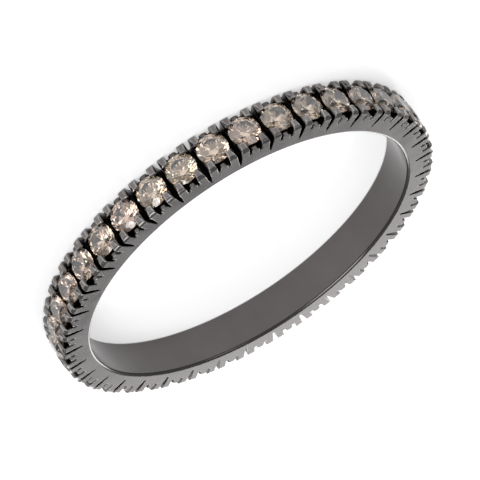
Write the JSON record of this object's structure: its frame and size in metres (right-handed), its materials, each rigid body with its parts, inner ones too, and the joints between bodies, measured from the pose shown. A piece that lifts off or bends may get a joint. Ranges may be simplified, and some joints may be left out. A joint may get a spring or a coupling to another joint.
{
  "type": "stackable ring",
  "caption": "Slim stacking ring: a dark polished metal band with champagne round brilliants set all the way round, worn on a finger alone or against other bands.",
  "frame": {"origin": "centre of the bore, on the side face that the ring rests on", "axes": "+Z is the bore's axis, up through the ring as it lies; -Y points to the first stone"},
  "size_m": [0.02, 0.02, 0.002],
  "materials": {
    "dark_metal": "polished dark grey plating, near black in the slots and grooves",
    "champagne_stone": "cut and polished grey-brown to pinkish champagne brilliants"
  },
  "bodies": {
    "root": {"band": "dark_metal", "stone_01": "champagne_stone", "stone_02": "champagne_stone", "stone_03": "champagne_stone", "stone_04": "champagne_stone", "stone_05": "champagne_stone", "stone_06": "champagne_stone", "stone_07": "champagne_stone", "stone_08": "champagne_stone", "stone_09": "champagne_stone", "stone_10": "champagne_stone", "stone_11": "champagne_stone", "stone_12": "champagne_stone", "stone_13": "champagne_stone", "stone_14": "champagne_stone", "stone_15": "champagne_stone", "stone_16": "champagne_stone", "stone_17": "champagne_stone", "stone_18": "champagne_stone", "stone_19": "champagne_stone", "stone_20": "champagne_stone", "stone_21": "champagne_stone", "stone_22": "champagne_stone", "stone_23": "champagne_stone", "stone_24": "champagne_stone", "stone_25": "champagne_stone", "stone_26": "champagne_stone", "stone_27": "champagne_stone", "stone_28": "champagne_stone", "stone_29": "champagne_stone", "stone_30": "champagne_stone", "stone_31": "champagne_stone", "stone_32": "champagne_stone", "stone_33": "champagne_stone", "stone_34": "champagne_stone", "stone_35": "champagne_stone", "stone_36": "champagne_stone", "stone_37": "champagne_stone"}
  },
  "joints": []
}
